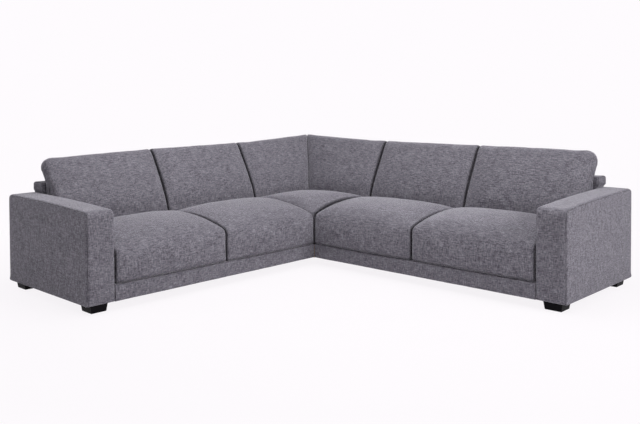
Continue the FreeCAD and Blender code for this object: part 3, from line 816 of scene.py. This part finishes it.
def back_resting(shape):
    """Where a back cushion rests on the deck, the seat cushion and the back."""
    deep, high = shape.middle[:, 0], shape.middle[:, 1]
    on_seat = (high < DECK + SEAT_CONTACT) & (deep > shape.centre[0])
    on_back = (high < BACK_TOP + BACK_CONTACT) & (deep < shape.centre[0])
    return (high < DECK + REST_BAND) | on_seat | on_back


def back_cushions():
    """The inner, outer and corner back cushions. The crown of an outer one is that of its first side, because
    its other side is rounded in the CAD solid too."""
    made = {}
    for place, kind, seed in (("inner", Back, 30), ("outer", OuterBack, 40), ("corner", MitredBack, 50)):
        first = BACK_PROBE[0] + MITRE_GAP if kind is MitredBack else None
        last_roll = OUTER_ROLL if kind is OuterBack else CUSHION_ROLL
        shape = kind(f"right_{place}_back_cushion_cover", (CUSHION_ROLL, last_roll), BACK_PROBE, first)
        near = shape.deep[1] + CAD_STRIP if kind is MitredBack else shape.first + CAD_STRIP
        far = near if kind is OuterBack else shape.last - CAD_STRIP
        shape.read_sections(near, (near + shape.last) / 2, far)
        free = freedom(back_resting(shape))
        made.update(padded_piece(f"{place}_back_cushion", shape, free, ("right_", "left_"), seed))
    return made


# Padded upholstery on the frames

def arms():
    """The padded covers of the arms, each with its own fall of the top."""
    made = {}
    for side, seed in (("right_", 70), ("left_", 75)):
        shape = Arm("right_arm_upholstery", (ARM_ROLL, ARM_ROLL), lower=UNDER_ARM)
        shape.use(arm_outline(shape.deep[1], shape.floor, ARM_REAR[side]))
        free = freedom(shape.middle[:, 1] < shape.floor + ARM_REST_BAND)
        made.update(padded_piece("arm_upholstery", shape, free, (side,), seed))
    return made


def backs():
    """The padded backs of the wings, free behind and on top."""
    shape = FrameBack("right_back_upholstery", (PLAIN_ROLL, BACK_ROLL))
    shape.use(back_outline(shape.deep[1], shape.floor))
    free = freedom((shape.middle[:, 0] > shape.deep[1] / 2) | (shape.middle[:, 1] < DECK))
    return padded_piece("back_upholstery", shape, free, ("right_", "left_"), 80)


def bands():
    """The bands over the front rails, free in front."""
    shape = Band("right_front_band", (PLAIN_ROLL, PLAIN_ROLL))
    shape.use(band_outline(*shape.deep, shape.floor))
    free = freedom(shape.middle[:, 0] < shape.deep[1] - REST_BAND)
    return padded_piece("front_band", shape, free, ("right_", "left_"), 90)


def corner_back():
    """The padded back of the corner: one panel that goes round the outer corner in a mitre."""
    low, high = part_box("corner_right_back_upholstery")
    end = high.x + REACH
    outline = back_outline(REACH - low.y, low.z)
    deep = outline[:, 0]
    rings = []
    for distance in np.linspace(0, end, round(end / RING_SPACING)):
        rings.append(np.stack([deep + (end - deep) * distance / end, deep, outline[:, 1]], axis=1))
    right = np.array(rings)
    left = right[:0:-1, :, [1, 0, 2]]
    return {"corner_back": mesh_object("corner_back", np.concatenate([left, right]))}


# Materials

class Nodes:
    """A node tree with short ways to add and join nodes."""

    def __init__(self, tree):
        self.tree = tree

    def add(self, kind, **values):
        node = self.tree.nodes.new(kind)
        for key, value in values.items():
            setattr(node, key, value)
        return node

    def join(self, out, into):
        self.tree.links.new(out, into)

    def fill(self, node, values):
        """Join or set the first sockets of a node, and give its first output."""
        for socket, value in zip(node.inputs, values):
            if isinstance(value, (int, float)):
                socket.default_value = value
            else:
                self.join(value, socket)
        return node.outputs[0]

    def maths(self, operation, *values):
        return self.fill(self.add("ShaderNodeMath", operation=operation), values)

    def mixed(self, share, first, second):
        """Two shaders mixed, with a share of the second."""
        return self.fill(self.add("ShaderNodeMixShader"), (share, first, second))

    def rays(self, *kinds):
        """1 for rays of these kinds."""
        path = self.add("ShaderNodeLightPath")
        seen = path.outputs[f"Is {kinds[0]} Ray"]
        for kind in kinds[1:]:
            seen = self.maths("MAXIMUM", seen, path.outputs[f"Is {kind} Ray"])
        return seen


class Finish(Nodes):
    """A new material and its nodes."""

    def __init__(self, name):
        self.material = bpy.data.materials.new(name)
        self.material.use_nodes = True
        super().__init__(self.material.node_tree)
        self.shader = self.tree.nodes["Principled BSDF"]
        self.place = self.add("ShaderNodeTexCoord").outputs["Object"]

    def set(self, **values):
        for key, value in values.items():
            self.shader.inputs[key.replace("_", " ")].default_value = value

    def drive(self, **values):
        """Join values to sockets of the shader."""
        for key, value in values.items():
            self.join(value, self.shader.inputs[key.replace("_", " ")])

    def attribute(self, name):
        return self.add("ShaderNodeAttribute", attribute_name=name).outputs["Fac"]

    def noise(self, scale, detail=2.0, rough=0.5):
        """Noise over the object's own coordinates, with a scale for each axis."""
        stretch = self.add("ShaderNodeVectorMath", operation="MULTIPLY")
        self.join(self.place, stretch.inputs[0])
        stretch.inputs[1].default_value = scale
        node = self.add("ShaderNodeTexNoise")
        self.join(stretch.outputs[0], node.inputs["Vector"])
        for name, value in (("Scale", 1.0), ("Detail", detail), ("Roughness", rough)):
            node.inputs[name].default_value = value
        return node.outputs["Fac"]

    def spread(self, value, ends, start=0.0, stop=1.0):
        """A value that runs from start to stop, set between two ends."""
        node = self.add("ShaderNodeMapRange")
        self.join(value, node.inputs["Value"])
        for name, limit in zip(("From Min", "From Max", "To Min", "To Max"), (start, stop, *ends)):
            node.inputs[name].default_value = limit
        return node.outputs[0]

    def ramp(self, value, places, colours):
        """Colours that follow a value, each at its place."""
        node = self.add("ShaderNodeValToRGB")
        self.join(value, node.inputs[0])
        band = node.color_ramp
        while len(band.elements) < len(places):
            band.elements.new(0.5)
        for element, place, colour in zip(band.elements, places, colours):
            element.position = place
            element.color = (*colour, 1)
        return node.outputs[0]

    def scaled(self, colour, factor):
        """A colour made darker or lighter by a factor."""
        node = self.add("ShaderNodeVectorMath", operation="SCALE")
        self.join(colour, node.inputs[0])
        self.join(factor, node.inputs["Scale"])
        return node.outputs[0]

    def bump(self, height, strength, distance, before=None):
        """Relief from a height, on top of the relief before it."""
        node = self.add("ShaderNodeBump")
        node.inputs["Strength"].default_value = strength
        node.inputs["Distance"].default_value = distance
        self.join(height, node.inputs["Height"])
        if before is not None:
            self.join(before, node.inputs["Normal"])
        return node.outputs["Normal"]

    def grained(self, grain, colours, strength, distance):
        """Take the shader's colour and relief from one grain."""
        self.drive(Base_Color=self.ramp(grain, GRAIN_ENDS, colours),
                   Normal=self.bump(grain, strength, distance))


def streaks(nodes, thick, length, detail=1.0):
    """Short yarns that cross on the surface, as one value round 0. Yarns along an axis show where the surface
    doesn't face that way."""
    facing = nodes.add("ShaderNodeSeparateXYZ")
    nodes.join(nodes.add("ShaderNodeNewGeometry").outputs["Normal"], facing.inputs[0])
    total = 0.0
    for axis in range(3):
        scale = [1 / thick] * 3
        scale[axis] = 1 / length
        yarn = nodes.maths("SUBTRACT", nodes.noise(scale, detail), 0.5)
        away = nodes.maths("MULTIPLY", facing.outputs[axis], facing.outputs[axis])
        total = nodes.maths("ADD", total, nodes.maths("MULTIPLY", yarn, nodes.maths("SUBTRACT", 1.0, away)))
    return total


def seam_marks(nodes):
    """1 in the needle line of a seam, with a dimple for each stitch."""
    line = nodes.maths("SUBTRACT", nodes.attribute("seam"), NEEDLE_START)
    line = nodes.maths("MULTIPLY", line, NEEDLE_RISE)
    line = nodes.maths("MINIMUM", nodes.maths("MAXIMUM", line, 0.0), 1.0)
    dash = nodes.maths("SINE", nodes.maths("MULTIPLY", nodes.attribute("run"), 2 * math.pi / STITCH))
    dimple = nodes.maths("MULTIPLY_ADD", dash, STITCH_DIMPLE, 1 - STITCH_DIMPLE)
    return nodes.maths("MULTIPLY", line, dimple)


def chenille():
    """Mottled grey chenille: soft yarns that cross, blotches of nap, a pale sheen at grazing angles, and
    painted shade in the grooves between cushions.
    """
    nodes = Finish("chenille")
    yarns = streaks(nodes, *YARN)
    threads = streaks(nodes, *THREAD)
    blotches = nodes.noise((15, 15, 15), detail=3.0, rough=0.6)
    tone = nodes.maths("MULTIPLY_ADD", nodes.maths("SUBTRACT", blotches, 0.5), BLOTCH_TONE, 0.5)
    for pattern, share in ((threads, THREAD_TONE), (yarns, YARN_TONE)):
        tone = nodes.maths("MULTIPLY_ADD", pattern, share, tone)
    colour = nodes.ramp(tone, TONE_ENDS, (CLOTH_DARK, CLOTH_MIDDLE, CLOTH_LIGHT))
    seam = seam_marks(nodes)
    # darker in the needle line of seams, and painted shade deep in the grooves between cushions and where they
    # rest
    stitching_and_painted_shade = nodes.maths("MULTIPLY", nodes.maths("MULTIPLY_ADD", seam, -SEAM_SHADE, 1.0),
                        nodes.maths("MULTIPLY_ADD", nodes.attribute("groove"), -PAINTED_GROOVE_SHADE, 1.0))
    relief = nodes.bump(yarns, strength=0.6, distance=0.004)
    relief = nodes.bump(threads, strength=0.6, distance=0.0015, before=relief)
    relief = nodes.bump(nodes.maths("SUBTRACT", 1.0, seam), strength=0.6, distance=0.001, before=relief)
    nodes.drive(Base_Color=nodes.scaled(colour, stitching_and_painted_shade), Roughness=nodes.spread(blotches, (0.82, 0.98)),
                Normal=relief)
    nodes.set(Specular_IOR_Level=0.05, Sheen_Weight=0.9, Sheen_Roughness=0.32, Sheen_Tint=SHEEN_TINT)
    return nodes.material


def plain_cloth(name, colours, thread):
    """A thin woven or felted cloth."""
    nodes = Finish(name)
    weave = streaks(nodes, thread, 6 * thread)
    nodes.drive(Base_Color=nodes.ramp(nodes.maths("ADD", weave, 0.5), WEAVE_ENDS, colours),
                Normal=nodes.bump(weave, strength=0.4, distance=thread / 2))
    nodes.set(Roughness=0.9, Specular_IOR_Level=0.2)
    return nodes.material


def timber():
    """Sawn pine or beech, with its grain along X."""
    nodes = Finish("timber")
    grain = nodes.noise((9, 60, 60), detail=4.0, rough=0.6)
    nodes.grained(grain, TIMBER_COLOURS, strength=0.2, distance=0.001)
    nodes.set(Roughness=0.6)
    return nodes.material


def foot_black():
    """Black stained block feet with a satin coat and faint grain."""
    nodes = Finish("foot_black")
    grain = nodes.noise((40, 40, 260), detail=3.0, rough=0.55)
    nodes.grained(grain, FOOT_COLOURS, strength=0.15, distance=0.0006)
    nodes.drive(Roughness=nodes.spread(grain, (0.40, 0.58)))
    nodes.set(Specular_IOR_Level=0.06)
    return nodes.material


def plated_steel():
    """Zinc plated steel with faint marks."""
    nodes = Finish("plated_steel")
    marks = nodes.noise((220, 220, 220), detail=3.0, rough=0.6)
    nodes.grained(marks, STEEL_COLOURS, strength=0.1, distance=0.0004)
    nodes.set(Metallic=1.0, Roughness=0.38)
    return nodes.material


def foam():
    """Pale yellow foam with small open cells."""
    nodes = Finish("foam")
    cells = nodes.noise((700, 700, 700), rough=0.6)
    nodes.drive(Base_Color=nodes.ramp(cells, WEAVE_ENDS, FOAM_COLOURS),
                Normal=nodes.bump(cells, strength=0.5, distance=0.001))
    nodes.set(Roughness=0.95)
    return nodes.material


def materials():
    """A finish for each material slot of the CAD model."""
    return {
        "sofa_cloth": chenille(),
        "deck_cloth": plain_cloth("deck_cloth", DECK_COLOURS, thread=0.0016),
        "dust_cloth": plain_cloth("dust_cloth", DUST_COLOURS, thread=0.0012),
        "webbing": plain_cloth("webbing", WEBBING_COLOURS, thread=0.0022),
        "timber": timber(),
        "foam": foam(),
        "foot_black": foot_black(),
        "plated_steel": plated_steel(),
    }


def dress(item, material):
    """Give an object one material."""
    item.data.materials.clear()
    item.data.materials.append(material)


# Studio and camera

def camera():
    """The photograph's camera."""
    yaw, pitch, roll = (math.radians(value) for value in (CAMERA_YAW, CAMERA_PITCH, CAMERA_ROLL))
    ahead = Vector((-math.sin(yaw) * math.cos(pitch), math.cos(yaw) * math.cos(pitch), math.sin(pitch)))
    level = Vector((math.cos(yaw), math.sin(yaw), 0))
    upright = level.cross(ahead)
    right = level * math.cos(roll) + upright * math.sin(roll)
    up = upright * math.cos(roll) - level * math.sin(roll)
    width, height = PHOTO_SIZE
    data = bpy.data.cameras.new("camera")
    data.sensor_width = SENSOR_MM
    data.lens = LENS_PIXELS / width * SENSOR_MM
    data.shift_x = (width / 2 - CENTRE_PIXEL[0]) / width
    data.shift_y = (CENTRE_PIXEL[1] - height / 2) / width
    item = bpy.data.objects.new("camera", data)
    axes = Matrix((right, up, -ahead)).transposed().to_4x4()
    item.matrix_world = Matrix.Translation(CAMERA_PLACE) @ axes
    bpy.context.scene.collection.objects.link(item)
    bpy.context.scene.camera = item


def lamp(name, place, target, size, power):
    """A soft rectangular lamp that shines at a target."""
    data = bpy.data.lights.new(name, "AREA")
    data.shape = "RECTANGLE"
    data.size, data.size_y = size
    data.energy = power
    item = bpy.data.objects.new(name, data)
    item.location = place
    item.rotation_euler = (Vector(target) - Vector(place)).to_track_quat("-Z", "Y").to_euler()
    bpy.context.scene.collection.objects.link(item)


def pale_floor():
    """A floor that the camera sees in the backdrop's colour, with a faint shadow on it."""
    nodes = Finish("pale_floor")
    nodes.drive(Base_Color=nodes.ramp(nodes.noise((3, 3, 3)), GRAIN_ENDS, FLOOR_COLOURS))
    nodes.set(Roughness=0.9, Specular_IOR_Level=0.1)
    glow = nodes.add("ShaderNodeEmission")
    glow.inputs["Color"].default_value = BACKDROP
    away = nodes.add("ShaderNodeVectorMath", operation="LENGTH")
    nodes.join(nodes.place, away.inputs[0])
    share = nodes.spread(away.outputs["Value"], FLOOR_SHARES, *FLOOR_DISTANCES)
    share = nodes.maths("MULTIPLY", nodes.rays("Camera", "Glossy", "Transmission"), share)
    nodes.join(nodes.mixed(share, nodes.shader.outputs[0], glow.outputs[0]),
               nodes.tree.nodes["Material Output"].inputs["Surface"])
    return nodes.material


def ground():
    """The floor under the sofa."""
    mesh = bpy.data.meshes.new("floor")
    size = FLOOR_SIZE
    corners = [(-size, -size, 0), (size, -size, 0), (size, size, 0), (-size, size, 0)]
    mesh.from_pydata(corners, [], [(0, 1, 2, 3)])
    floor = bpy.data.objects.new("floor", mesh)
    floor.data.materials.append(pale_floor())
    bpy.context.scene.collection.objects.link(floor)


def backdrop():
    """A world that lights the sofa softly and shows the backdrop's colour to the camera."""
    world = bpy.data.worlds.new("studio")
    world.use_nodes = True
    bpy.context.scene.world = world
    nodes = Nodes(world.node_tree)
    light = nodes.tree.nodes["Background"]
    light.inputs["Color"].default_value = (1, 1, 1, 1)
    light.inputs["Strength"].default_value = WORLD_STRENGTH
    shown = nodes.add("ShaderNodeBackground")
    shown.inputs["Color"].default_value = BACKDROP
    mixed = nodes.mixed(nodes.rays("Camera", "Transmission"), light.outputs[0], shown.outputs[0])
    nodes.join(mixed, nodes.tree.nodes["World Output"].inputs["Surface"])


def studio():
    """Floor, backdrop and three soft lamps."""
    ground()
    backdrop()
    lamp("top", place=(0.3, -0.2, 3.4), target=(-0.1, 0.1, 0.3), size=(3.6, 3.6), power=125)
    lamp("key", place=(5.2, 0.9, 2.6), target=(0, 0, 0.3), size=(2.4, 2.0), power=130)
    lamp("fill", place=(-2.6, -4.8, 1.5), target=(-0.9, -1.4, 0.3), size=(1.5, 1.5), power=22)
    bpy.context.scene.view_settings.view_transform = "Standard"


def main():
    """Dress the CAD model, put the padded pieces in its place, and set up studio and camera."""
    finishes = materials()
    slots = {entry["node"]: entry["material_slot"] for entry in frame["record"]["subparts"]}
    for node, item in frame["nodes"].items():
        dress(item, finishes[slots[node]])
    cushions = {**seat_cushions(), **back_cushions(), **corner_seat_cushion()}
    for body, item in cushions.items():
        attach(item, body)
        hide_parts(body + "_cover", body + "_foam")
    upholstery = {**arms(), **backs(), **bands(), **corner_back()}
    for name, item in upholstery.items():
        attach(item, name.split("_")[0] + "_module")
        if name == "corner_back":
            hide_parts("corner_right_back_upholstery", "corner_left_back_upholstery")
        else:
            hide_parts(name)
    for item in [*cushions.values(), *upholstery.values()]:
        dress(item, finishes["sofa_cloth"])
    studio()
    camera()


main()
